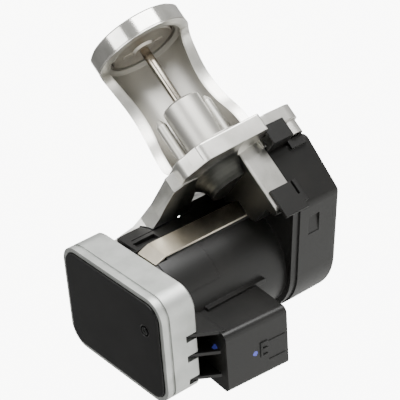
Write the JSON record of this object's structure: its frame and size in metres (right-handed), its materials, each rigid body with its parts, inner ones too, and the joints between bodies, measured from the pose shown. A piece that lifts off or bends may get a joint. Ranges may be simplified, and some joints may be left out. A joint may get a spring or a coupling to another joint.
{
  "type": "exhaust gas recirculation valve",
  "caption": "Electric exhaust gas recirculation valve with a windowed aluminium tube, poppet valve, geared motor drive, electronics box and connector.",
  "frame": {"origin": "centre of the flange's seating face on the valve axis", "axes": "+Z along the stem from the flange to the free end of the tube; X along the motor axis with the gear cover at +X and the electronics box at -X; +Y from the tube towards the motor"},
  "size_m": [0.1101, 0.105, 0.1642],
  "materials": {
    "cast_aluminium": "satin",
    "box_aluminium": "matte",
    "black_plastic": "matte",
    "connector_plastic": "matte",
    "cap_plastic": "semi-gloss",
    "polished_steel": "polished",
    "ground_steel": "ground",
    "heat_steel": "turned",
    "spring_steel": "drawn",
    "bronze": "sintered",
    "gear_nylon": "matte",
    "copper": "turned",
    "carbon": "matte",
    "ferrite": "matte",
    "seal_rubber": "matte",
    "board_green": "satin"
  },
  "bodies": {
    "housing": {"valve_housing": "cast_aluminium", "seat_ring": "heat_steel", "stem_bush": "bronze", "stem_seal": "seal_rubber", "return_spring": "spring_steel", "bearing_plate": "box_aluminium", "shaft_bush": "bronze", "intermediate_axle": "ground_steel", "brushes": "carbon", "brush_card": "black_plastic", "motor_can": "spring_steel", "motor_magnets": "ferrite", "motor_bearings": "bronze", "motor_housing": "black_plastic", "connector_terminals": "polished_steel", "gear_cover": "black_plastic", "strap_clip": "polished_steel", "electronics_box": "box_aluminium", "electronics_cover": "cap_plastic", "circuit_board": "board_green", "cover_seal": "seal_rubber"},
    "valve": {"valve_disc": "heat_steel", "valve_stem": "ground_steel", "stem_yoke": "ground_steel"},
    "output": {"output_shaft": "ground_steel", "crank_arm": "ground_steel", "crank_roller": "ground_steel", "output_gear": "gear_nylon", "sensor_magnet": "ferrite"},
    "intermediate": {"intermediate_gear": "gear_nylon"},
    "rotor": {"motor_pinion": "copper", "motor_shaft": "ground_steel", "armature": "heat_steel", "commutator": "copper"}
  },
  "joints": [
    {"name": "rotor_turn", "type": "hinge", "parent": "housing", "child": "rotor", "pos_m": [0, 0.0357, -0.0404], "axis": [-1, 0, 0], "range_deg": [0, 636.3]},
    {"name": "intermediate_turn", "type": "hinge", "parent": "housing", "child": "intermediate", "pos_m": [0, 0.0194, -0.03863], "axis": [-1, 0, 0], "range_deg": [-233.6, 0]},
    {"name": "output_turn", "type": "hinge", "parent": "housing", "child": "output", "pos_m": [0, 0.0025, -0.0265], "axis": [-1, 0, 0], "range_deg": [0, 70.1]},
    {"name": "valve_lift", "type": "slide", "parent": "housing", "child": "valve", "axis": [0, 0, 1], "range_m": [0, 0.00702], "deforming": ["return_spring"]}
  ],
  "couplings": [
    {"joint": "intermediate_turn", "follows": "rotor_turn", "ratio": -0.36667},
    {"joint": "output_turn", "follows": "rotor_turn", "ratio": 0.11},
    {"joint": "valve_lift", "follows": "rotor_turn", "m_per_rad": 0.00063025}
  ]
}
